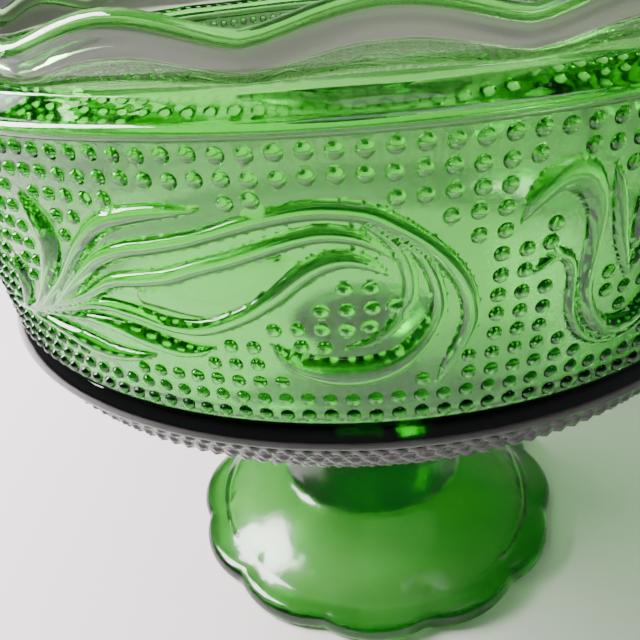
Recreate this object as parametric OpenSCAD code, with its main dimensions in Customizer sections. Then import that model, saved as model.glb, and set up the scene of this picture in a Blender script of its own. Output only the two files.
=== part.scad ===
// Footed candy dish in pressed green glass, in millimetres.
// The dish stands on z = 0 with its centre line on the Z axis, and the front of the pattern faces -Y.
// Three pieces of glass are joined hot, one on top of the other:
//   bowl      the drum-shaped cup with its shoulder, collar and scalloped rim
//   wafer     the small button of glass that joins the bowl to the pedestal
//   pedestal  the stem and the domed, scalloped foot, pressed in one piece

/* [Bowl] */
// Radius of the drum wall where it meets the shoulder ring
drum_r = 88; // [78:1:105]
// How far the drum wall narrows on its way down to the band
drum_taper = 4.6; // [0:0.2:8]
// Height of the drum wall, from the band up to the shoulder ring
drum_h = 44.6; // [30:0.2:60]
// Thickness of the drum wall
wall_t = 4.8; // [3.6:0.2:6]
// Depth of the cup below the band
cup_h = 25; // [20:0.5:36]
// Thickness of the floor of the bowl
floor_t = 5.6; // [4:0.2:8]
// Radius of the round boss under the bowl
boss_r = 16; // [12:0.5:20]
// Height of the boss
boss_h = 2.2; // [1:0.2:5]

/* [Mouldings] */
// Height of the plain round band at the foot of the drum wall
band_h = 3; // [2:0.2:5]
// How far the band stands out from the wall
band_out = 1.3; // [0.5:0.1:2.5]
// Height of the round shoulder ring above the drum wall
ring_h = 2.6; // [2:0.2:6]
// How far the shoulder ring stands out from the wall
ring_out = 1.6; // [0.8:0.1:3]
// Width of the sloping shoulder, from the drum wall in to the collar
shoulder_w = 4; // [2:0.2:5]
// Rise of the sloping shoulder
shoulder_rise = 2.2; // [1:0.2:4]

/* [Collar and rim] */
// Height of the collar, from the shoulder to the highest points of the rim
collar_h = 10; // [7:0.2:20]
// Thickness of the collar
collar_t = 3; // [2:0.2:4]
// How far the collar flares outward on its way up to the rim
collar_flare = 2.7; // [0:0.1:6]
// Number of scallops round the rim
rim_lobes = 16; // [12, 14, 16, 18, 20]
// Depth of the dips between the rim's scallops
rim_dip = 3; // [1:0.2:5]
// Angle by which the rim's scallops are turned round the centre line
rim_turn = 3; // [-12:0.5:12]

/* [Wafer] */
// Radius of the wafer between the bowl and the stem
wafer_r = 19; // [16:0.5:24]
// Thickness of the wafer
wafer_t = 4; // [2.5:0.5:8]

/* [Stem] */
// Height of the stem's top above the table
stem_top = 60; // [48:1:80]
// Radius of the stem at its top
stem_r = 14; // [10:0.5:15.5]
// Radius of the stem where it rises out of the foot
stem_base_r = 28; // [20:0.5:32]

/* [Foot] */
// Radius of the foot at the tips of its scallops
foot_r = 55.4; // [46:0.2:70]
// Height of the dome of the foot where the stem rises out of it
dome_h = 17.5; // [15:0.5:24]
// Height of the foot's rounded edge
foot_edge_h = 6; // [4:0.2:8]
// Number of scallops round the foot
foot_lobes = 12; // [8:1:16]
// Depth of the notches between the foot's scallops
foot_dip = 2.2; // [1:0.2:4]
// Angle by which the foot's scallops are turned round the centre line
foot_turn = -2; // [-15:0.5:15]
// Width of the flat ring that the foot stands on, measured from the notches
foot_ring_w = 7; // [4:0.5:10]
// Height of the hollow under the foot
hollow_h = 12; // [6:0.5:12.5]

/* [Hidden] */

// Fineness of the round shapes
$fn = 128;
// Number of steps in each curved stretch of an outline
STEPS = 10;
// How far a cutter runs past the surface that it cuts
PAST = 3;
// Share of each rim scallop's width that the dip beside it takes
DIP_SHARE = 0.7;
GLASS = [0.33, 0.70, 0.30, 0.75];

// Levels, from the table up
wafer_z = stem_top;
bowl_z = wafer_z + wafer_t;
cup_z = bowl_z + boss_h;
band_z = cup_z + cup_h;
drum_z = band_z + band_h;
ring_z = drum_z + drum_h;
shoulder_z = ring_z + ring_h;
collar_z = shoulder_z + shoulder_rise;
rim_z = collar_z + collar_h;

// Radii of the bowl
drum_foot_r = drum_r - drum_taper;
collar_r = drum_r - shoulder_w;
rim_r = collar_r + collar_flare;
inner_top_r = drum_r - wall_t;
inner_foot_r = drum_foot_r - wall_t;
// The curve of the cup's floor starts this far above the band's lower edge
floor_spring = wall_t;
floor_z = cup_z + floor_t;
// Radius of the flat middle of the floor
floor_flat_r = boss_r - wall_t / 2;

// Radii of the foot
foot_notch_r = foot_r - foot_dip;
hollow_r = foot_notch_r - foot_ring_w;

// Points on an arc of an ellipse about (cx, cz), from angle a0 to a1
function arc(cx, cz, rx, rz, a0, a1, n = STEPS) =
    [for (i = [0:n]) let (a = a0 + (a1 - a0) * i / n) [cx + rx * cos(a), cz + rz * sin(a)]];

// Points on a quadratic curve from p0 to p2, drawn towards p1
function curve(p0, p1, p2, n = STEPS) =
    [for (i = [0:n]) let (t = i / n) (1 - t) * (1 - t) * p0 + 2 * t * (1 - t) * p1 + t * t * p2];

// Radius of a round bar that cuts a dip of this depth, half_w to either side of its middle
function scallop_r(half_w, depth) = (half_w * half_w + depth * depth) / (2 * depth);

// Distance from the centre line to the centre of a lobe with its tip at r and its ends at notch_r
function lobe_centre(r, notch_r, half_angle) =
    (r * r - notch_r * notch_r) / (2 * (r - notch_r * cos(half_angle)));

// Half outline of the bowl: up the outside, over the rim and down the inside
module bowl_profile() {
    polygon(concat(
        [[0, bowl_z], [boss_r, bowl_z]],
        arc(boss_r, band_z, drum_foot_r - boss_r, cup_h, -90, 0, 2 * STEPS),
        arc(drum_foot_r, band_z + band_h / 2, band_out, band_h / 2, -80, 80),
        [[drum_foot_r, drum_z], [drum_r, ring_z]],
        arc(drum_r, ring_z + ring_h / 2, ring_out, ring_h / 2, -80, 90),
        [[collar_r, collar_z], [rim_r, rim_z], [rim_r - collar_t, rim_z]],
        [[collar_r - collar_t, collar_z], [inner_top_r, ring_z]],
        arc(
            floor_flat_r,
            band_z + floor_spring,
            inner_foot_r - floor_flat_r,
            band_z + floor_spring - floor_z,
            0,
            -90,
            2 * STEPS
        ),
        [[0, floor_z]]
    ));
}

// The dips between the rim's scallops: one short round bar lies across the rim at each dip
module rim_dips() {
    half_w = rim_r * sin(180 / rim_lobes) * DIP_SHARE;
    r = scallop_r(half_w, rim_dip);
    for (i = [0:rim_lobes - 1]) {
        rotate([0, 0, rim_turn + (i + 0.5) * 360 / rim_lobes])
            translate([rim_r - collar_t / 2, 0, rim_z - rim_dip + r])
                rotate([0, 90, 0])
                    cylinder(h = collar_t + 2 * PAST, r = r, center = true);
    }
}

module bowl() {
    color(GLASS)
        difference() {
            rotate_extrude() bowl_profile();
            rim_dips();
        }
}

// A flat button with a round edge, fused to the bowl above and to the stem below
module wafer() {
    edge = wafer_t / 2;
    color(GLASS)
        rotate_extrude()
            polygon(concat(
                [[0, wafer_z]],
                arc(wafer_r - edge, wafer_z + edge, edge, edge, -90, 90),
                [[0, wafer_z + wafer_t]]
            ));
}

// Outline of the foot, seen from above
module foot_outline() {
    half_angle = 180 / foot_lobes;
    centre = lobe_centre(foot_r, foot_notch_r, half_angle);
    circle(r = centre);
    for (i = [0:foot_lobes - 1]) {
        rotate(foot_turn + i * 360 / foot_lobes)
            translate([centre, 0])
                circle(r = foot_r - centre);
    }
}

// Half outline of the stem and foot, which runs past the scallops at the edge
module pedestal_profile() {
    edge_r = foot_r - foot_edge_h;
    polygon(concat(
        arc(0, 0, hollow_r, hollow_h, 90, 0, 2 * STEPS),
        arc(edge_r, 0, foot_edge_h + PAST, foot_edge_h, 0, 80),
        curve([edge_r, foot_edge_h], [(edge_r + stem_base_r) / 2, dome_h - 2], [stem_base_r, dome_h]),
        curve([stem_base_r, dome_h], [stem_r + 0.5, (dome_h + stem_top) / 2], [stem_r, stem_top]),
        [[0, stem_top]]
    ));
}

module pedestal() {
    color(GLASS)
        intersection() {
            rotate_extrude() pedestal_profile();
            linear_extrude(height = stem_top + PAST) foot_outline();
        }
}

bowl();
wafer();
pedestal();
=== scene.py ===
"""A footed candy dish in pressed green glass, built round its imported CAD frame.

The dish is three pieces of glass joined hot: bowl, wafer and pedestal. Each is one closed surface here, made
of rings about the centre line. The bowl's drum wall carries the pressed pattern: rows of beads on a lattice,
left out wherever the scrolls and leaves run. Lengths are in millimetres until a mesh is made.
"""

import bpy
import numpy as np
from mathutils import Matrix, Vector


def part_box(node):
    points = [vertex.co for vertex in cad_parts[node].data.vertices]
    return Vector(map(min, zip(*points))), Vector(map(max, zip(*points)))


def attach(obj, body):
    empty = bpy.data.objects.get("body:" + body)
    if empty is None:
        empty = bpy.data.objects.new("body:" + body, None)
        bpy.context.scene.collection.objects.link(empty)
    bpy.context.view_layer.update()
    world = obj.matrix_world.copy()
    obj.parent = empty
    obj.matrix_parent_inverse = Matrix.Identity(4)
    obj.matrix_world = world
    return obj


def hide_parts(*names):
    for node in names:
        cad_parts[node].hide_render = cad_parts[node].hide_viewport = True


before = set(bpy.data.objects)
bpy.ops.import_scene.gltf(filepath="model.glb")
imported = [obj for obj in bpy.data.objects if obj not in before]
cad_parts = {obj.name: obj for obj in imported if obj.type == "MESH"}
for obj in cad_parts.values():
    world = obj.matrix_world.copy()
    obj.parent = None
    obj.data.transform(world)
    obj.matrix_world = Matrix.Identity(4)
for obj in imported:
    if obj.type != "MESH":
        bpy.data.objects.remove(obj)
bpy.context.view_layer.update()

MM = 0.001


def top_of(node):
    """Height of a CAD node's top above the table, in millimetres."""
    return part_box(node)[1].z / MM


# ---------------------------------------------------------------- sizes

# Levels of the dish, from the table up, and its radii at the shoulder ring and the foot
STEM_TOP = top_of("pedestal")
WAFER_TOP = top_of("wafer")
RIM_TOP = top_of("bowl")
OUTER_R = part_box("bowl")[1].x / MM
FOOT_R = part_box("pedestal")[1].x / MM

# The bowl: widths and heights of its mouldings and wall
RING_OUT = 1.6
RING_H = 2.6
BAND_H = 3.0
# The band flares outward on its way down: distance out from the foot of the drum wall, and height over it,
# from the bottom up
BAND_PROFILE = [(0.3, -4.4), (1.4, -4.3), (1.85, -3.9), (1.9, -3.3), (1.5, -2.2), (0.95, -1.1),
                (0.35, -0.25)]
DRUM_H = 44.6
CUP_H = 25.0
BOSS_R = 16.0
BOSS_H = 2.2
COLLAR_T = 1.8
COLLAR_FLARE = 2.7
SHOULDER_W = 4.0
SHOULDER_RISE = 2.2
WALL_T = 4.8
FLOOR_T = 5.6
DRUM_TAPER = 4.6

DRUM_R = OUTER_R - RING_OUT
DRUM_FOOT_R = DRUM_R - DRUM_TAPER
CUP_Z = WAFER_TOP + BOSS_H
BAND_Z = CUP_Z + CUP_H
DRUM_Z = BAND_Z + BAND_H
RING_Z = DRUM_Z + DRUM_H
SHOULDER_Z = RING_Z + RING_H
COLLAR_Z = SHOULDER_Z + SHOULDER_RISE
COLLAR_R = DRUM_R - SHOULDER_W
RIM_R = COLLAR_R + COLLAR_FLARE

# Rim and foot scallops, and the roll along the rim
RIM_LOBES = 16
RIM_TURN = np.radians(3.0)
RIM_DIP = 3.2
RIM_POWER = 0.7
ROLL_R = 1.85
FOOT_LOBES = 12
FOOT_TURN = np.radians(28.0)
FOOT_DIP = 2.2

# The pedestal: the hollow under the foot, the foot's rounded edge, and the dome that rises to the stem
HOLLOW_R = 46.2
HOLLOW_H = 12.0
EDGE_R = 2.2
DOME_R = 28.0
DOME_H = 17.5
STEM_R = 14.0

# The wafer, the ring halfway in on its flat faces, and the air that keeps these apart from its neighbours'
WAFER_R = 19.0
WAFER_FLAT_R = 10.0
WAFER_GAP = 0.01

# The lattice of beads on the drum: columns round the dish and rows from the shoulder down
COLUMNS = 156
REPEATS = 4
ROWS = 14
PITCH = 2 * np.pi * (DRUM_R + DRUM_FOOT_R) / 2 / COLUMNS
ROW_H = DRUM_H / ROWS
FIRST_COLUMN = np.radians(-31.57)
BEAD_R = 1.2
BEAD_H = 0.95
BEAD_STRAY = 0.10
# Beside a stroke: the room a bead wants, the most that it is pushed for it, and the share of its radius that
# it must get
BEAD_ROOM = BEAD_R + 0.1
BEAD_PUSH = 0.42
BEAD_SHARE = 0.96
# Cells (column, row) that are left plain beside the strokes
NO_BEADS = [(12, 7), (11, 8), (9, 9), (16, 4), (21, 4), (17, 5), (20, 5), (22, 5), (18, 6), (22, 6),
            (29, 4), (28, 5), (30, 5), (28, 6), (16, 8), (17, 9), (17, 10), (16, 11), (11, 12), (15, 12)]
# Cells that hold a bead though a stroke runs close by
CLOSE_BEADS = [(15, 8), (11, 10)]
# Grid steps across one cell of the lattice, and the share of a bead's radius at its inner ring
CELL = 6
INNER_RING = 0.62
# How near to a stroke's edge a grid point is moved onto it, and how far into a quad its slopes are taken
# where it meets such an edge
SNAP = 0.25
CREASE_STEP = 0.12

# Smaller beads set in a brick pattern on the underside of the cup, from UNDER_START below the band
UNDER_COLUMNS = 176
UNDER_ROWS = 4
UNDER_CELL = 4
UNDER_ROW_H = 2.75
UNDER_START = 1.9
UNDER_BEAD_R = 1.3
UNDER_BEAD_H = 0.8
UNDER_RING = 0.78
UNDER_PITCH = 2 * np.pi / UNDER_COLUMNS
UNDER_R = DRUM_FOOT_R - 1.5

# Columns in the rings of the plain outside, the inside, the cup's underside, the rim, and the foot and wafer
PLAIN = 156
INSIDE = 104
UNDERSIDE = 88
RIM_COLUMNS = 192
ROUND = 312
# Where each ring begins: half a column of the lattice before the first bead
RING_START = FIRST_COLUMN - np.pi / COLUMNS

# Tints of the glass surface, over the green that the glass has all through; the darker ones are painted shade
GREEN = (0.82, 0.94, 0.78)
WALL_TOP_GREEN = (0.96, 0.94, 0.94)
CLEAR = (0.88, 0.83, 0.80)
# Painted shade: the cup's beaded underside is tinted much darker than the glass
UNDER_PAINTED_SHADE = (0.14, 0.24, 0.14)
# Painted shade: the flared band is tinted near black
BAND_PAINTED_SHADE = (0.20, 0.34, 0.18)
# Painted shade: the foot's sole and rounded edge are tinted darker than the rest
FOOT_EDGE_PAINTED_SHADE = (0.50, 0.72, 0.46)
STREAK_GREEN = (0.90, 0.98, 0.88, 1)

# The glass: how it bends light, the colour it keeps, and how strongly it colours in the bowl and in the
# pedestal and wafer
BENDING = 1.56
BODY_GREEN = (0.20, 0.86, 0.06, 1)
BOWL_DEPTH = 200.0
FOOT_DEPTH = 135.0

# The stage, in metres. Air between the foot and the floor, as under glass that stands on cloth
FLOOR_GAP = 0.0002
FLOOR_FRONT = -1.2
FLOOR_BACK = 1.0
FLOOR_BEND = 0.5
FLOOR_TOP = 1.6
FLOOR_HALF_W = 2.0
CLOTH = (0.82, 0.755, 0.775, 1)
# Each lamp: name, place, size across and up, power and colour
LAMPS = [
    ("window_lamp", (-0.46, 0.03, 0.48), (0.26, 0.40), 16.0, (1.0, 0.97, 0.98)),
    ("fill_lamp", (0.25, -0.10, 1.30), (0.9, 0.9), 6.0, (0.95, 1.0, 0.98)),
]
LAMP_TARGET = (0, 0, 0.08)
CAMERA_PLACE = (0, -0.1641, 0.1580)
CAMERA_PITCH, CAMERA_YAW, CAMERA_ROLL = np.radians([29.34, -4.33, -5.37])
CAMERA_LENS = 37.6

# ---------------------------------------------------------------- the pressed pattern

# Heights of the broad ridges, the narrow ones and the low swelling between them where their half width is
# RIDGE_W, the most that a wider one gains, and the power of the section
LEAF = 1.35
STRAND = 1.2
SWELL = 0.35
RIDGE_W = 1.3
RIDGE_GAIN = 1.25
PROFILE = 0.8
# Each stroke is a rounded ridge: its height, then points (column, row, half width) along its crest
SCROLL = [
    (LEAF, [(-0.9, 3.0, 0.3), (-0.4, 4.2, 1.7), (-0.2, 5.1, 2.3), (-0.4, 6.0, 2.1), (-1.0, 7.1, 1.7),
            (-1.8, 8.2, 1.4), (-2.7, 9.2, 1.2), (-3.7, 10.0, 1.0), (-5.0, 10.6, 0.8)]),
    (LEAF, [(7.9, 3.2, 0.3), (6.8, 3.3, 1.0), (5.8, 3.4, 1.4), (4.6, 3.65, 1.6), (3.7, 3.95, 1.6),
            (2.8, 4.5, 1.5), (1.9, 5.3, 1.4), (1.0, 6.3, 1.3), (0.0, 7.4, 1.2), (-1.4, 8.6, 1.1),
            (-2.7, 9.6, 1.0), (-4.2, 10.4, 0.9)]),
    (STRAND, [(-4.2, 10.4, 0.8), (-1.7, 9.4, 1.0), (0.1, 8.0, 1.2), (1.9, 6.5, 1.4), (2.9, 5.8, 1.5),
              (4.1, 5.3, 1.5), (5.5, 5.0, 1.4), (7.0, 4.65, 1.3), (8.0, 4.35, 1.2), (9.2, 3.95, 1.3),
              (10.4, 3.6, 1.4), (11.7, 3.35, 1.5), (12.8, 3.35, 1.5), (14.0, 3.6, 1.5), (15.0, 4.2, 1.5),
              (15.9, 4.9, 1.4), (16.7, 5.75, 1.4), (17.4, 6.8, 1.4), (17.8, 7.9, 1.4), (17.9, 9.0, 1.4),
              (17.6, 10.1, 1.3), (17.1, 11.2, 1.0), (16.7, 12.2, 0.3)]),
    (LEAF, [(14.8, 4.6, 0.5), (15.7, 5.3, 1.0), (16.2, 6.2, 1.1), (16.5, 7.1, 1.1), (16.6, 8.1, 1.2),
            (16.3, 9.1, 1.4), (15.7, 10.1, 1.8), (14.8, 10.9, 2.3), (13.6, 11.3, 2.7), (12.3, 11.3, 2.7),
            (11.1, 10.95, 2.2), (10.3, 10.4, 1.4), (9.9, 9.8, 0.3)]),
    (STRAND, [(13.9, 4.0, 0.5), (14.8, 4.8, 1.0), (15.3, 5.8, 1.1), (15.5, 6.9, 1.1), (15.35, 7.9, 1.1),
              (14.8, 8.9, 1.0), (14.0, 9.6, 0.8), (12.9, 10.0, 0.3)]),
    (STRAND, [(-4.2, 10.4, 0.8), (-1.3, 9.2, 1.0), (0.5, 8.4, 1.2), (1.4, 7.95, 1.3), (2.4, 7.35, 1.3),
              (3.3, 6.95, 1.4), (4.6, 6.7, 1.5), (6.0, 6.4, 1.5), (7.2, 5.95, 1.4), (8.6, 5.5, 1.4),
              (9.7, 5.1, 1.4), (10.9, 4.65, 1.4), (12.2, 4.35, 1.4), (13.4, 4.5, 1.3), (14.2, 4.95, 0.9),
              (14.9, 5.6, 0.3)]),
    (STRAND, [(-4.2, 10.4, 0.8), (-0.4, 9.2, 1.0), (0.6, 8.85, 1.1), (1.6, 8.55, 1.2), (2.8, 8.5, 1.3),
              (4.1, 8.7, 1.4), (5.2, 9.0, 1.4), (6.4, 9.1, 1.5), (7.4, 8.9, 1.5), (8.6, 8.35, 1.5),
              (9.5, 7.8, 1.5), (10.4, 7.1, 1.6), (11.3, 6.3, 1.6), (12.2, 5.7, 1.6), (13.1, 5.5, 1.5),
              (13.9, 5.75, 1.1), (14.6, 6.3, 0.3)]),
    (LEAF, [(-4.2, 10.4, 0.8), (0.2, 9.6, 0.9), (1.4, 9.5, 1.2), (2.8, 9.7, 1.6), (4.1, 10.05, 1.8),
            (5.5, 10.4, 1.6), (6.4, 10.4, 1.1), (7.2, 10.15, 0.3)]),
    (LEAF, [(-4.5, 10.7, 1.0), (-2.2, 10.9, 1.3), (-0.8, 11.1, 1.8), (0.1, 11.3, 2.0), (1.2, 11.45, 1.8),
            (2.3, 11.4, 1.4), (3.3, 11.25, 0.9), (4.0, 11.05, 0.3)]),
    (LEAF, [(-4.3, 7.0, 0.3), (-4.0, 8.0, 1.1), (-4.2, 8.9, 1.2), (-4.7, 9.7, 1.0), (-5.3, 10.5, 0.9)]),
    (STRAND, [(-8.0, 11.1, 0.3), (-6.4, 10.9, 1.0), (-5.2, 10.6, 1.3), (-4.0, 10.4, 1.3)]),
    (SWELL, [(4.5, 7.7, 1.5), (7.5, 7.4, 3.6), (9.2, 6.6, 3.0), (10.8, 5.7, 1.5)]),
]
# The lyre between two scrolls is given as its left half, and mirrored about this column
LYRE_AXIS = 24.95
LYRE = [
    (LEAF, [(19.6, 4.6, 0.3), (20.0, 3.8, 1.4), (20.6, 3.15, 2.1), (21.3, 2.95, 2.4), (21.9, 3.2, 2.4),
            (22.4, 3.9, 2.0), (22.7, 4.8, 1.6), (22.8, 5.9, 1.4), (22.8, 7.1, 1.3), (22.8, 8.3, 1.3),
            (23.0, 9.2, 1.3), (23.4, 10.1, 1.5), (24.1, 10.9, 1.8), (24.95, 11.15, 2.0)]),
    (STRAND, [(20.35, 7.25, 0.3), (20.8, 6.75, 0.8), (21.3, 6.5, 1.0), (21.8, 6.8, 1.0), (22.1, 7.6, 0.9),
              (22.2, 8.8, 0.9), (22.4, 9.8, 0.9), (22.9, 10.8, 0.9), (23.8, 11.55, 0.9),
              (24.95, 11.9, 0.9)]),
    (STRAND, [(23.2, 2.9, 0.3), (23.5, 3.9, 1.0), (23.8, 5.0, 1.2), (24.1, 6.2, 1.2), (24.5, 7.3, 1.0),
              (24.95, 8.5, 0.4)]),
    (LEAF, [(24.95, 3.2, 0.3), (24.95, 4.6, 1.3), (24.95, 6.0, 1.1), (24.95, 7.2, 0.4)]),
]


def spline(points, steps=8):
    """Catmull-Rom curve through the points, with one more at each end as far again: each stretch is the cubic
    that passes through its two middle points with slopes of half the distance between their neighbours."""
    p = np.asarray(points, float)
    p = np.vstack([2 * p[0] - p[1], p, 2 * p[-1] - p[-2]])
    t = np.linspace(0, 1, steps, endpoint=False)[:, None]
    a, b, c, d = p[:-3, None], p[1:-2, None], p[2:-1, None], p[3:, None]
    cubic = 0.5 * (2 * b + (c - a) * t + (2 * a - 5 * b + 4 * c - d) * t**2 + (3 * b - a - 3 * c + d) * t**3)
    return np.vstack([cubic.reshape(-1, p.shape[1]), p[-2:-1]])


def pattern_strokes():
    """Every stroke as (height, crest points in millimetres on the unrolled wall, half widths)."""
    mirrored = [(h, [(2 * LYRE_AXIS - c, r, w) for c, r, w in pts]) for h, pts in LYRE]
    strokes = []
    for height, points in SCROLL + LYRE + mirrored:
        line = spline(points)
        strokes.append((height, line[:, :2] * (PITCH, ROW_H), line[:, 2]))
    return strokes


STROKES = pattern_strokes()
# Width of one repeat, how far past its half width a stroke is looked for, and the distance with none near
SECTOR = COLUMNS // REPEATS * PITCH
STROKE_REACH = 2.5
FAR = 99.0


def strokes_at(x, y, value, start):
    """Goes over the strokes near the points (x, y) on the unrolled wall, with the pattern repeated every
    SECTOR, and lets value(best so far, distance to the crest, half width, height) update the best. Of a
    stroke's short straight pieces, the one whose edge is nearest counts."""
    best = np.full(x.shape, float(start))
    for height, crest, half in STROKES:
        reach = half.max() + STROKE_REACH
        for shift in (-SECTOR, 0, SECTOR):
            low, high = crest.min(0) - reach, crest.max(0) + reach
            near = (x > low[0] + shift) & (x < high[0] + shift) & (y > low[1]) & (y < high[1])
            if not near.any():
                continue
            px, py = x[near] - shift, y[near]
            a, b = crest[:-1], crest[1:]
            d = b - a
            t = ((px[:, None] - a[:, 0]) * d[:, 0] + (py[:, None] - a[:, 1]) * d[:, 1]) / (d**2).sum(1)
            t = np.clip(t, 0, 1)
            gap = np.hypot(px[:, None] - a[:, 0] - t * d[:, 0], py[:, None] - a[:, 1] - t * d[:, 1])
            width = half[:-1] + t * (half[1:] - half[:-1])
            k = np.argmin(gap - width, axis=1)[:, None]
            best[near] = value(
                best[near],
                np.take_along_axis(gap, k, 1)[:, 0],
                np.take_along_axis(width, k, 1)[:, 0],
                height,
            )
    return best


def ridge(best, gap, width, height):
    """A rounded ridge: height x sqrt(width / RIDGE_W), the root at most RIDGE_GAIN, times
    (1 - (gap / width)^2) to the power PROFILE."""
    rise = height * np.minimum(np.sqrt(width / RIDGE_W), RIDGE_GAIN)
    return np.maximum(best, rise * np.clip(1 - (gap / width) ** 2, 0, 1) ** PROFILE)


def clearance(best, gap, width, height):
    """Distance from a point to the edge of the nearest stroke."""
    return np.minimum(best, gap - width)


def edge_gap(x, y):
    """Signed distance from a point to the edge of the nearest stroke, inside it below zero."""
    return strokes_at(x, y, clearance, FAR)


def edge_way(x, y, step=0.05):
    """Unit vector away from the nearest stroke: the slope of the signed distance, by differences."""
    gx = edge_gap(x + step, y) - edge_gap(x - step, y)
    gy = edge_gap(x, y + step) - edge_gap(x, y - step)
    size = np.maximum(np.hypot(gx, gy), 1e-9)
    return gx / size, gy / size


def lattice_beads():
    """Which cells of one sector hold a bead, and how far each bead strays from the middle of its cell: by
    BEAD_STRAY times sines of its column and row. A bead beside a stroke is pushed away from it, by at most
    BEAD_PUSH, and one still too close is left out."""
    c, r = np.meshgrid(np.arange(COLUMNS // REPEATS), np.arange(1, ROWS + 1))
    x, y = c * PITCH, r * ROW_H
    gap = edge_gap(x, y)
    gx, gy = edge_way(x, y)
    push = np.clip(BEAD_ROOM - gap, 0, BEAD_PUSH)
    held = gap + push > BEAD_R * BEAD_SHARE
    for column, row in NO_BEADS:
        held[row - 1, column] = False
    for column, row in CLOSE_BEADS:
        held[row - 1, column] = True
    stray_x = push * gx + BEAD_STRAY * np.sin(12.9 * c + 78.2 * r)
    stray_y = push * gy + BEAD_STRAY * np.sin(39.3 * c + 11.1 * r)
    return held, stray_x, stray_y


BEADS, STRAY_X, STRAY_Y = lattice_beads()


def has_bead(c, r):
    """Whether the cell in column c and row r of the drum holds a bead."""
    return BEADS[r - 1, c % BEADS.shape[1]]


def bead_stray(c, r):
    """How far the bead of a cell strays from its middle, across and down."""
    c = c % BEADS.shape[1]
    return STRAY_X[r - 1, c], STRAY_Y[r - 1, c]


def cap(gap, radius, height):
    """Height of a spherical cap at a distance gap from its middle: sqrt(s^2 - gap^2) less its value at the
    rim, with s = (radius^2 + height^2) / (2 x height) for the sphere."""
    sphere = (radius**2 + height**2) / (2 * height)
    return np.sqrt(np.clip(sphere**2 - gap**2, 0, None)) - (sphere - height)


def relief(x, y):
    """Height of the pattern over the plain wall at points (x, y) of the unrolled wall: the larger of the
    strokes and the bead whose cell the point is in."""
    x = (x + 0.5 * PITCH) % SECTOR - 0.5 * PITCH
    c = np.rint(x / PITCH).astype(int)
    r = np.clip(np.rint(y / ROW_H), 1, ROWS).astype(int)
    dx, dy = bead_stray(c, r)
    gap = np.hypot(x - c * PITCH - dx, y - r * ROW_H - dy)
    bead = np.where(has_bead(c, r) & (gap < BEAD_R), cap(gap, BEAD_R, BEAD_H), 0)
    return np.maximum(strokes_at(x, y, ridge, 0.0), bead)


def drum_point(x, y, h):
    """Point of the drum wall for unrolled (x, y), raised by h straight away from the centre line: x goes
    round in columns, and y down the cone in rows."""
    turn = FIRST_COLUMN + x / PITCH * 2 * np.pi / COLUMNS
    share = (y / ROW_H - 0.5) / ROWS
    r = DRUM_R + (DRUM_FOOT_R - DRUM_R) * share + h
    return np.stack([r * np.sin(turn), -r * np.cos(turn), RING_Z - DRUM_H * share], -1)


def corner_normals(u, v, crease, point, height, step_u, step_v):
    """Normals at the four corners of each quad of a grid of (u, v): the cross product of the finished
    surface's slopes along u and v, by differences. On a crease the slopes are taken CREASE_STEP of the way
    to the quad's middle, so that the surface bends sharply there."""
    way = ((slice(None, -1), slice(None, -1)), (slice(None, -1), slice(1, None)),
           (slice(1, None), slice(1, None)), (slice(1, None), slice(None, -1)))
    cu, cv, sharp = (np.stack([g[w] for w in way], -1) for g in (u, v, crease))
    inward = CREASE_STEP * sharp
    cu = cu + inward * (cu.mean(-1, keepdims=True) - cu)
    cv = cv + inward * (cv.mean(-1, keepdims=True) - cv)

    def at(du, dv):
        return point(cu + du, cv + dv, height(cu + du, cv + dv))

    n = np.cross(at(step_u, 0) - at(-step_u, 0), at(0, step_v) - at(0, -step_v))
    return n / np.linalg.norm(n, axis=-1, keepdims=True)


def cell_grid(columns, rows, cell, inner, bead, stray, half_w, half_h, brick=False):
    """Grid over a lattice of cells, bent so that its lines follow each bead. In a cell, the square ring at
    share m of the way out becomes a circle: (a, b) goes to the angle 45 degrees x b / a at that circle's
    radius, which is inner(m). The cell's own edge stays square, and a cell with no bead stays even. In a
    brick lattice every second row is half a cell along. Returns the offsets x and y from the cell's middle,
    its column and row, m, whether the point is in a bead's rings, and the row's shift in grid steps, each as
    a (rows x cell + 1, columns x cell) array."""
    i, j = np.meshgrid(np.arange(columns * cell), np.arange(rows * cell + 1))
    half = cell // 2
    r = np.minimum(j // cell + 1, rows)
    shift = np.where(brick & (r % 2 == 0), half, 0)
    c = (i + half - shift) // cell
    a = (i - shift - c * cell) / half
    b = (j - (r - 1) * cell - half) / half
    m = np.maximum(abs(a), abs(b))
    angle = np.where(
        abs(a) >= abs(b),
        np.pi / 4 * b / np.where(a == 0, 1, a) + np.where(a < 0, np.pi, 0),
        np.pi / 2 * np.sign(b) - np.pi / 4 * a / np.where(b == 0, 1, b),
    )
    rounded = bead(c, r) & (m < 1)
    radius = np.where(m == 0, 0, inner(m))
    dx, dy = stray(c, r)
    x = np.where(rounded, radius * np.cos(angle) + dx, a * half_w)
    y = np.where(rounded, radius * np.sin(angle) + dy, b * half_h)
    return x, y, c, r, m, rounded, shift


# ---------------------------------------------------------------- meshes


def ring_turn(n):
    """Angle of each of the n points of a ring, from the front of the dish towards its right."""
    return RING_START + np.arange(n) / n * 2 * np.pi


def ring(r, z, n):
    """One ring of n points at radius r and height z, each of which may change round the ring."""
    turn = ring_turn(n)
    return np.stack([r * np.sin(turn), -r * np.cos(turn), z + 0 * turn], -1)


def arc(cr, cz, rr, rz, a0, a1, n):
    """n + 1 points (r, z) on an arc of an ellipse about (cr, cz), from angle a0 to a1 in degrees."""
    a = np.radians(np.linspace(a0, a1, n + 1))
    return np.stack([cr + rr * np.cos(a), cz + rz * np.sin(a)], -1)


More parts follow.
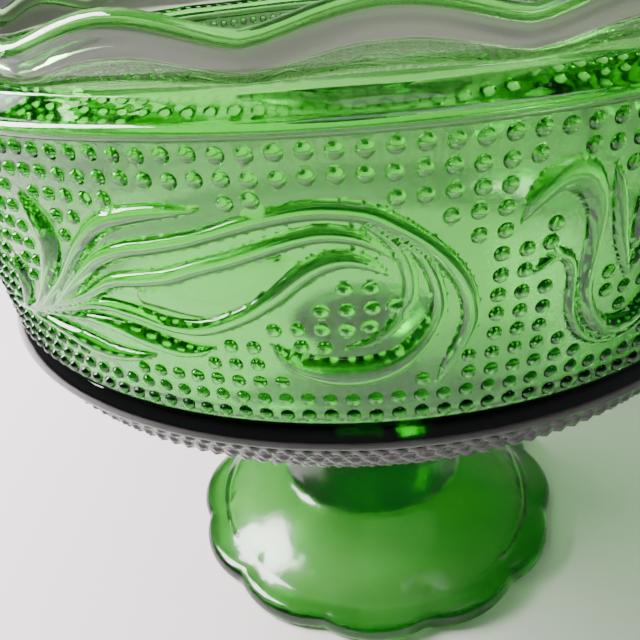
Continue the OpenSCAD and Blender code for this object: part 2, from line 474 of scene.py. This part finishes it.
def bezier(p0, p1, p2, n):
    """n + 1 points of the quadratic curve from p0 towards p1 to p2."""
    t = np.linspace(0, 1, n + 1)[:, None]
    return (1 - t) ** 2 * np.array(p0) + 2 * t * (1 - t) * np.array(p1) + t * t * np.array(p2)


def smooth_step(x):
    """0 below 0, 1 above 1, and 3 x^2 - 2 x^3 between."""
    x = np.clip(x, 0, 1)
    return x * x * (3 - 2 * x)


def join(rings):
    """Quads and triangles between successive rings, which run up the outside and down the inside. Rings of
    equal count are joined by quads. Where the counts differ, each edge of one ring makes a triangle with the
    nearest point of the other, and a ring of one point is a pole."""
    start = np.cumsum([0] + [len(r) for r in rings])
    quads, tris = [], []
    for k in range(len(rings) - 1):
        n0, n1 = len(rings[k]), len(rings[k + 1])
        i, j = np.arange(n0), np.arange(n1)
        a0, a1 = start[k] + i, start[k] + (i + 1) % n0
        b0, b1 = start[k + 1] + j, start[k + 1] + (j + 1) % n1
        if n0 == n1:
            quads.append(np.stack([a0, a1, b1, b0], -1))
        elif n1 == 1:
            tris.append(np.stack([a0, a1, b0 + 0 * i], -1))
        elif n0 == 1:
            tris.append(np.stack([a0 + 0 * j, b1, b0], -1))
        else:
            # for each edge of the first ring, the nearest point of the second, and for each edge of the
            # second, the point of the first between whose edges it lies
            near = np.floor((i + 0.5) * n1 / n0 + 0.5).astype(int)
            owner = np.searchsorted(near, j + 0.5) % n0
            tris.append(np.stack([a0, a1, b0[near % n1]], -1))
            tris.append(np.stack([a0[owner], b1, b0], -1))
    return np.vstack(quads), np.vstack(tris)


def loops_before(rings, first):
    """Corners of the quads between the rings before the one numbered first."""
    counts = [len(r) for r in rings]
    return 4 * sum(counts[k] for k in range(first) if counts[k] == counts[k + 1])


def solid(name, node, stretches, own_normals=()):
    """A closed, smooth-shaded surface through all the rings, as a piece that stands for a CAD node. Each
    stretch is (its rings, their tint, their share of a satin finish). own_normals holds pairs of the number
    of a ring and the corner normals of the quads from that ring on."""
    rings = [r for part, _, _ in stretches for r in part]
    quads, tris = join(rings)
    points = np.vstack(rings)
    loops = np.concatenate([quads.ravel(), tris.ravel()])
    starts = np.concatenate([np.arange(len(quads)) * 4, quads.size + np.arange(len(tris)) * 3])
    mesh = bpy.data.meshes.new(name)
    mesh.vertices.add(len(points))
    mesh.vertices.foreach_set("co", (points * MM).ravel())
    mesh.loops.add(len(loops))
    mesh.loops.foreach_set("vertex_index", loops.astype(np.int32))
    mesh.polygons.add(len(starts))
    mesh.polygons.foreach_set("loop_start", starts.astype(np.int32))
    mesh.polygons.foreach_set("use_smooth", np.ones(len(starts), bool))
    mesh.update(calc_edges=True)
    in_stretch = [sum(len(r) for r in part) for part, _, _ in stretches]
    # the tints as a colour attribute: the glass's own tints, and painted shade on the underside, band and
    # foot edge
    tints = np.repeat([(*tint, 1) for _, tint, _ in stretches], in_stretch, axis=0).astype(np.float32)
    mesh.color_attributes.new("tint", "FLOAT_COLOR", "POINT").data.foreach_set("color", tints.ravel())
    satin = np.repeat([share for _, _, share in stretches], in_stretch).astype(np.float32)
    mesh.attributes.new("satin", "FLOAT", "POINT").data.foreach_set("value", satin)
    if own_normals:
        normals = np.zeros((len(loops), 3))
        for first, value in own_normals:
            at = loops_before(rings, first)
            normals[at : at + len(value)] = value
        mesh.normals_split_custom_set(normals)
    piece = bpy.data.objects.new(name, mesh)
    bpy.context.scene.collection.objects.link(piece)
    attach(piece, "root")
    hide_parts(node)
    return piece


# ---------------------------------------------------------------- the bowl


def cup_outline():
    """The underside of the cup, a quarter of an ellipse from the boss to the band, as its arc length at each
    of its points and the points (r, z)."""
    outline = arc(BOSS_R, BAND_Z, DRUM_FOOT_R - BOSS_R, CUP_H, -90, 0, 400)
    steps = np.linalg.norm(np.diff(outline, axis=0), axis=1)
    return np.concatenate([[0], np.cumsum(steps)]), outline


CUP_LENGTH, CUP_OUTLINE = cup_outline()
UNDER_BEGIN = CUP_LENGTH[-1] - UNDER_START - UNDER_ROWS * UNDER_ROW_H


def cup(s):
    """Radius and height of the cup's underside at arc length s from the boss."""
    return np.interp(s, CUP_LENGTH, CUP_OUTLINE[:, 0]), np.interp(s, CUP_LENGTH, CUP_OUTLINE[:, 1])


def cup_point(a, s, h):
    """Point of the cup's underside at angle a from the start of the rings and arc length s, raised by h
    along the outline's normal."""
    r, z = cup(s)
    ahead_r, ahead_z = cup(s + 0.05)
    step = np.hypot(ahead_r - r, ahead_z - z)
    r, z = r + h * (ahead_z - z) / step, z - h * (ahead_r - r) / step
    return np.stack([r * np.sin(RING_START + a), -r * np.cos(RING_START + a), z], -1)


def cup_relief(a, s):
    """Height of the small beads over the underside: a cap in the middle of each cell of the bricks."""
    row = np.clip(np.floor((s - UNDER_BEGIN) / UNDER_ROW_H), 0, UNDER_ROWS - 1)
    along = a / UNDER_PITCH - 0.5 * (row % 2 == 1)
    across = (along - np.rint(along)) * UNDER_PITCH * UNDER_R
    gap = np.hypot(across, s - UNDER_BEGIN - (row + 0.5) * UNDER_ROW_H)
    return np.where(gap < UNDER_BEAD_R, cap(gap, UNDER_BEAD_R, UNDER_BEAD_H), 0)


def plain_underside():
    """Rings of the boss, from its middle out, and of the cup's underside up to the small beads."""
    rings = [ring(0, WAFER_TOP, 1)]
    for r, up in [(BOSS_R * 0.5, 0), (BOSS_R - 0.6, 0), (BOSS_R, 0.6)]:
        rings.append(ring(r, WAFER_TOP + up, UNDERSIDE))
    for s in np.linspace(0, UNDER_BEGIN - 1.2, 9):
        rings.append(ring(*cup(s), UNDERSIDE))
    return rings


def beaded_underside():
    """Rings and corner normals of the small beads below the band."""
    x, y, c, r, _, rounded, shift = cell_grid(
        UNDER_COLUMNS,
        UNDER_ROWS,
        UNDER_CELL,
        inner=lambda m: UNDER_RING * UNDER_BEAD_R,
        bead=lambda c, r: np.ones(c.shape, bool),
        stray=lambda c, r: (0.0, 0.0),
        half_w=0,
        half_h=UNDER_ROW_H / 2,
        brick=True,
    )
    even = np.arange(x.shape[1])[None] / UNDER_CELL * UNDER_PITCH
    a = np.where(rounded, (c + shift / UNDER_CELL) * UNDER_PITCH + x / UNDER_R, even)
    s = UNDER_BEGIN + (r - 0.5) * UNDER_ROW_H + y
    rings = cup_point(a, s, cup_relief(a, s))
    a = np.concatenate([a, a[:, :1] + 2 * np.pi], axis=1)
    s = np.concatenate([s, s[:, :1]], axis=1)
    normals = corner_normals(a, s, np.zeros(s.shape), cup_point, cup_relief, 0.0003, 0.03)
    return list(rings), normals.reshape(-1, 3)


def drum_wall():
    """Rings and corner normals of the drum, from the band up: one repeat of the pattern, and its copies
    turned about the centre line, by the usual turning matrix of cosines and sines."""
    x, y, c, r, m, rounded, _ = cell_grid(
        COLUMNS,
        ROWS,
        CELL,
        inner=lambda m: np.where(m > 0.5, BEAD_R, BEAD_R * INNER_RING),
        bead=has_bead,
        stray=bead_stray,
        half_w=PITCH / 2,
        half_h=ROW_H / 2,
    )
    last = COLUMNS // REPEATS * CELL
    x, y, m, rounded = (g[::-1, : last + 1] for g in (x + c * PITCH, y + r * ROW_H, m, rounded))
    # grid points close to a stroke's edge are moved onto it, except in the cells of beads
    gap = edge_gap(x, y)
    way_x, way_y = edge_way(x, y)
    near = (abs(gap) < SNAP) & ~rounded
    near[0] = near[-1] = False
    x, y = np.where(near, x - gap * way_x, x), np.where(near, y - gap * way_y, y)
    crease = near | (rounded & (m > 0.5))
    height = np.where(crease, 0, relief(x, y))
    # the repeat's last column is the same line as its first, one repeat on
    x[:, -1], y[:, -1], height[:, -1] = x[:, 0] + SECTOR, y[:, 0], height[:, 0]
    one = drum_point(x, y, height)[:, :-1]
    # v runs up the wall, as the rings do
    one_normals = corner_normals(
        x, -y, crease, lambda u, v, h: drum_point(u, -v, h), lambda u, v: relief(u, -v), 0.02, 0.02
    )
    rings, normals = [], []
    for a in np.arange(REPEATS) * 2 * np.pi / REPEATS:
        about_z = np.array([[np.cos(a), np.sin(a), 0], [-np.sin(a), np.cos(a), 0], [0, 0, 1]])
        rings.append(one @ about_z)
        normals.append(one_normals @ about_z)
    return list(np.concatenate(rings, axis=1)), np.concatenate(normals, axis=1).reshape(-1, 3)


def shoulder():
    """Rings of the rounded shoulder ring, half an ellipse, and of the slope from it to the collar."""
    half = RING_H / 2
    rings = [ring(r, z, PLAIN) for r, z in arc(DRUM_R, RING_Z + half, RING_OUT, half, -76, 84, 6)]
    rings.append(ring(DRUM_R - 1.8, SHOULDER_Z + 0.9, PLAIN))
    rings.append(ring(COLLAR_R + 0.5, COLLAR_Z - 0.25, PLAIN))
    return rings


def collar():
    """Rings of the flared collar and its rolled rim, up the outside and down the inside. The rim's height
    goes from RIM_TOP down by RIM_DIP x (1 - w^RIM_POWER), where w is 1 on a lobe's tip and 0 in a dip."""
    wave = 0.5 + 0.5 * np.cos(RIM_LOBES * (ring_turn(RIM_COLUMNS) - RIM_TURN))
    top = RIM_TOP - RIM_DIP * (1 - wave**RIM_POWER)
    roll_r = RIM_R - ROLL_R
    neck_r = roll_r + 0.55 * ROLL_R

    def level(r, share):
        return ring(r, COLLAR_Z + share * (top - 2 * ROLL_R - COLLAR_Z), RIM_COLUMNS)

    rings = [level(COLLAR_R + 0.05, 0.06), level(COLLAR_R + 0.3, 0.3), level(neck_r, 0.7)]
    for r, up in arc(roll_r, 0, ROLL_R, ROLL_R, -52, 232, 10):
        rings.append(ring(r, top - ROLL_R + up, RIM_COLUMNS))
    rings += [level(neck_r - COLLAR_T, 0.7), level(COLLAR_R + 0.3 - COLLAR_T, 0.3)]
    rings.append(ring(COLLAR_R - COLLAR_T - 0.3, COLLAR_Z - 1.0, PLAIN))
    return rings


def inside():
    """Rings of the drum's plain inside and of the cup's floor, a quarter of an ellipse, in to its middle."""
    top_r, foot_r, flat_r = DRUM_R - WALL_T, DRUM_FOOT_R - WALL_T, BOSS_R - WALL_T / 2
    spring, floor_z = BAND_Z + WALL_T, CUP_Z + FLOOR_T
    rings = []
    for share in (0.12, 0.5, 0.9):
        rings.append(ring(top_r + share * (foot_r - top_r), RING_Z - share * DRUM_H, INSIDE))
    for r, z in arc(flat_r, spring, foot_r - flat_r, spring - floor_z, -8, -90, 10):
        rings.append(ring(r, z, INSIDE))
    rings.append(ring(flat_r / 2, floor_z, INSIDE))
    rings.append(ring(0, floor_z, 1))
    return rings


def build_bowl():
    """The bowl, from the middle of the boss up the outside and down the inside to the floor."""
    plain = plain_underside()
    beads, bead_normals = beaded_underside()
    band = [ring(DRUM_FOOT_R + out, DRUM_Z + up, PLAIN) for out, up in BAND_PROFILE]
    wall, wall_normals = drum_wall()
    first_bead, first_wall = len(plain), len(plain + beads + band)
    # The cup's beaded underside and the band get tints of painted shade, darker than the glass's green
    stretches = [(plain[:-1], GREEN, 0), (plain[-1:] + beads, UNDER_PAINTED_SHADE, 0), (band, BAND_PAINTED_SHADE, 0)]
    for row, share in zip(wall, np.linspace(0, 1, len(wall))):
        stretches.append(([row], np.array(GREEN) * (1 - share) + np.array(WALL_TOP_GREEN) * share, 0))
    stretches += [(shoulder(), WALL_TOP_GREEN, 0), (collar(), CLEAR, 0), (inside(), GREEN, 1)]
    return solid("bowl_glass", "bowl", stretches, [(first_bead, bead_normals), (first_wall, wall_normals)])


# ---------------------------------------------------------------- the pedestal and the wafer


def foot_edge(turn):
    """Radius of the foot's outline: twelve arcs, each of the circle that passes through its tip and its two
    notches. With the circle's centre c from the axis, r = c cos(a) + sqrt((R - c)^2 - c^2 sin(a)^2)."""
    notch = FOOT_R - FOOT_DIP
    half = np.pi / FOOT_LOBES
    c = (FOOT_R**2 - notch**2) / (2 * (FOOT_R - notch * np.cos(half)))
    a = (turn - FOOT_TURN + half) % (2 * half) - half
    return c * np.cos(a) + np.sqrt((FOOT_R - c) ** 2 - (c * np.sin(a)) ** 2)


def build_pedestal():
    """The stem and foot: from the top of the hollow, out under the foot, round its edge and up the stem. The
    dome's first rings follow the foot's lobes, less and less on the way in."""
    edge = foot_edge(ring_turn(ROUND))
    hollow = [ring(0, HOLLOW_H, 1)]
    hollow += [ring(r, z, ROUND) for r, z in arc(0, 0, HOLLOW_R, HOLLOW_H, 86, 6, 16)]
    sole = [(HOLLOW_R + 0.5, 0.15), (HOLLOW_R + 1.2, 0.0), (edge - EDGE_R, 0.0)]
    sole = [ring(r, z, ROUND) for r, z in sole]
    round_edge = [ring(edge + r, z, ROUND) for r, z in arc(-EDGE_R, EDGE_R, EDGE_R, EDGE_R, -70, 0, 4)]
    round_edge += [ring(edge + r, z, ROUND) for r, z in arc(-3.2, 2.8, 3.2, 3.0, 10, 82, 6)]
    dome = []
    for k, (r, z) in enumerate(bezier((FOOT_R - 6.0, 6.3), (40.0, 12.5), (DOME_R, DOME_H - 1.0), 14)):
        dome.append(ring(r - (FOOT_R - edge) * 0.6 * (1 - smooth_step(k / 6)), z, ROUND))
    middle = (STEM_R + 0.5, (DOME_H + STEM_TOP) / 2)
    stem = []
    for r, z in bezier((DOME_R - 1.2, DOME_H + 0.3), middle, (STEM_R, STEM_TOP - 0.5), 24):
        stem.append(ring(r, z, ROUND))
    stem += [ring(STEM_R - 0.5, STEM_TOP, ROUND), ring(STEM_R / 2, STEM_TOP, ROUND), ring(0, STEM_TOP, 1)]
    # The foot's sole and rounded edge get a tint of painted shade
    stretches = [(hollow, GREEN, 0.6), (sole + round_edge, FOOT_EDGE_PAINTED_SHADE, 0), (dome + stem, GREEN, 0)]
    return solid("pedestal_glass", "pedestal", stretches)


def build_wafer():
    """The wafer: a flat button with a round edge."""
    low, high = STEM_TOP + WAFER_GAP, WAFER_TOP - WAFER_GAP
    half = (high - low) / 2
    edge = [ring(r, z, ROUND) for r, z in arc(WAFER_R - half, low + half, half, half, -84, 84, 12)]
    below = [ring(0, low, 1), ring(WAFER_FLAT_R, low, ROUND)]
    above = [ring(WAFER_FLAT_R, high, ROUND), ring(0, high, 1)]
    return solid("wafer_glass", "wafer", [(below + edge + above, GREEN, 0)])


# ---------------------------------------------------------------- materials


class Value:
    """A socket that can be added to and multiplied, each of which adds a Math node."""

    def __init__(self, shop, socket):
        self.shop, self.socket = shop, socket

    def _math(self, operation, *values):
        made = self.shop.node("ShaderNodeMath", {"operation": operation}, *values)
        return Value(self.shop, made.outputs[0])

    def __add__(self, other):
        return self._math("ADD", self, other)

    def __mul__(self, other):
        return self._math("MULTIPLY", self, other)

    __radd__, __rmul__ = __add__, __mul__


class Shop:
    """The node tree of one material or world, and the one method that adds a node to it."""

    def __init__(self, owner):
        owner.use_nodes = True
        self.tree = owner.node_tree
        self.tree.nodes.clear()

    def node(self, kind, settings=None, *values, **named):
        """A node of a kind, with its settings first, then the values or links of its sockets, in order or by
        name, where a name's underscores stand for spaces. Sockets that the settings switch off have no place
        in the order."""
        made = self.tree.nodes.new(kind)
        for key, value in (settings or {}).items():
            setattr(made, key, value)
        sockets = list(zip([s for s in made.inputs if s.enabled], values))
        sockets += [(made.inputs[key.replace("_", " ")], value) for key, value in named.items()]
        for socket, value in sockets:
            if isinstance(value, Value):
                value = value.socket
            if isinstance(value, bpy.types.NodeSocket):
                self.tree.links.new(value, socket)
            else:
                socket.default_value = value
        return made


def glass_material(name, wobble, soft, depth):
    """Clear green glass, coloured all through by absorption. Old pressed glass has faint waves in its
    surface (wobble is their strength) and a patchy haze: roughness = haze x (0.04 + 0.06 x satin) +
    0.07 x satin + soft."""
    material = bpy.data.materials.new(name)
    shop = Shop(material)
    where = shop.node("ShaderNodeTexCoord").outputs["Object"]

    def noise(scale, detail):
        return shop.node("ShaderNodeTexNoise", None, Vector=where, Scale=scale, Detail=detail).outputs["Fac"]

    waves, grain, haze = noise(55.0, 2.0), noise(420.0, 3.0), noise(30.0, 4.0)
    height = Value(shop, waves) + Value(shop, grain) * 0.08
    bump = shop.node("ShaderNodeBump", None, Strength=wobble, Distance=0.002, Height=height)
    satin = Value(shop, shop.node("ShaderNodeAttribute", {"attribute_name": "satin"}).outputs["Fac"])
    rough = Value(shop, haze) * (0.04 + 0.06 * satin) + 0.07 * satin + soft
    # the tint attribute holds the surface tints, painted shade among them
    tint = shop.node("ShaderNodeAttribute", {"attribute_name": "tint"}).outputs["Color"]
    multiply = {"data_type": "RGBA", "blend_type": "MULTIPLY"}
    mix = shop.node("ShaderNodeMix", multiply, haze, tint, STREAK_GREEN)
    shader = shop.node(
        "ShaderNodeBsdfPrincipled",
        None,
        Base_Color=[s for s in mix.outputs if s.enabled][0],
        Roughness=rough,
        IOR=BENDING,
        Transmission_Weight=1.0,
        Normal=bump.outputs["Normal"],
    )
    body = shop.node("ShaderNodeVolumeAbsorption", None, Color=BODY_GREEN, Density=depth)
    shop.node("ShaderNodeOutputMaterial", None, Surface=shader.outputs[0], Volume=body.outputs[0])
    return material


def cloth_material():
    """Plain pale cloth, faintly pink."""
    material = bpy.data.materials.new("pale_cloth")
    shop = Shop(material)
    shader = shop.node("ShaderNodeBsdfPrincipled", None, Base_Color=CLOTH, Roughness=0.85)
    shop.node("ShaderNodeOutputMaterial", None, Surface=shader.outputs[0])
    return material


# ---------------------------------------------------------------- the stage


def build_floor():
    """A floor that runs level from FLOOR_FRONT to FLOOR_BACK, bends up behind the dish along a quarter of a
    circle of radius FLOOR_BEND and goes straight up: the same profile at nine places across."""
    bend = np.radians(np.linspace(8, 90, 10))
    level = np.linspace(FLOOR_FRONT, FLOOR_BACK, 12)
    y = np.concatenate([level, FLOOR_BACK + FLOOR_BEND * np.sin(bend), [FLOOR_BACK + FLOOR_BEND]])
    z = np.concatenate([0 * level, FLOOR_BEND - FLOOR_BEND * np.cos(bend), [FLOOR_TOP]]) - FLOOR_GAP
    x = np.linspace(-FLOOR_HALF_W, FLOOR_HALF_W, 9)
    grid = np.stack([x + 0 * y[:, None], y[:, None] + 0 * x, z[:, None] + 0 * x], -1)
    k = np.arange(y.size * x.size).reshape(y.size, x.size)
    faces = np.stack([k[:-1, :-1], k[:-1, 1:], k[1:, 1:], k[1:, :-1]], -1).reshape(-1, 4)
    mesh = bpy.data.meshes.new("floor")
    mesh.from_pydata(grid.reshape(-1, 3).tolist(), [], faces.tolist())
    mesh.polygons.foreach_set("use_smooth", np.ones(len(faces), bool))
    mesh.materials.append(cloth_material())
    floor = bpy.data.objects.new("floor", mesh)
    bpy.context.scene.collection.objects.link(floor)


def build_room():
    """An even, dim light from all round that fades towards the top: a ramp on the direction's height."""
    world = bpy.data.worlds.new("soft_room")
    shop = Shop(world)
    way = shop.node("ShaderNodeTexCoord").outputs["Generated"]
    height = shop.node("ShaderNodeSeparateXYZ", None, way).outputs["Z"]
    ramp = shop.node("ShaderNodeValToRGB", None, height)
    low, high = ramp.color_ramp.elements
    low.position, low.color = 0.25, (0.93, 0.97, 1.0, 1)
    high.position, high.color = 0.60, (0.18, 0.19, 0.20, 1)
    sky = shop.node("ShaderNodeBackground", None, Color=ramp.outputs["Color"], Strength=0.17)
    shop.node("ShaderNodeOutputWorld", None, Surface=sky.outputs[0])
    bpy.context.scene.world = world


def place(name, data, where, towards, up):
    """A lamp or camera as an object at a place in metres, that looks along towards with up above it: its
    axes are towards x up, what is square to both, and the way back."""
    back = -np.asarray(towards, float) / np.linalg.norm(towards)
    right = np.cross(up, back)
    right /= np.linalg.norm(right)
    held = bpy.data.objects.new(name, data)
    bpy.context.scene.collection.objects.link(held)
    axes = np.stack([right, np.cross(back, right), back, where], -1)
    held.matrix_world = Matrix(np.vstack([axes, [0, 0, 0, 1]]).tolist())
    return held


def place_lamps():
    """The soft lamps, each turned to the dish."""
    for name, where, size, power, colour in LAMPS:
        lamp = bpy.data.lights.new(name, "AREA")
        lamp.shape = "RECTANGLE"
        lamp.size, lamp.size_y = size
        lamp.energy, lamp.color = power, colour
        place(name, lamp, where, np.subtract(LAMP_TARGET, where), (0, 0, 1))


def place_camera():
    """The camera close in front of the dish, a little above the rim. It looks down by its pitch, is turned
    to the left by its yaw and leans by its roll."""
    pitch, yaw, roll = CAMERA_PITCH, CAMERA_YAW, CAMERA_ROLL
    ahead = np.array([np.sin(yaw) * np.cos(pitch), np.cos(yaw) * np.cos(pitch), -np.sin(pitch)])
    level = np.array([np.cos(yaw), -np.sin(yaw), 0])
    right = np.cos(roll) * level + np.sin(roll) * np.cross(level, ahead)
    camera = bpy.data.cameras.new("camera")
    camera.sensor_width = 36
    camera.lens = CAMERA_LENS
    camera.clip_start = 0.005
    bpy.context.scene.camera = place("camera", camera, CAMERA_PLACE, ahead, np.cross(right, ahead))


bowl = build_bowl()
wafer = build_wafer()
pedestal = build_pedestal()
pressed = glass_material("pressed_glass", 0.12, 0.0, BOWL_DEPTH)
worked = glass_material("worked_glass", 0.40, 0.14, FOOT_DEPTH)
for piece, glass in ((bowl, pressed), (wafer, worked), (pedestal, worked)):
    piece.data.materials.append(glass)
build_floor()
build_room()
place_lamps()
place_camera()
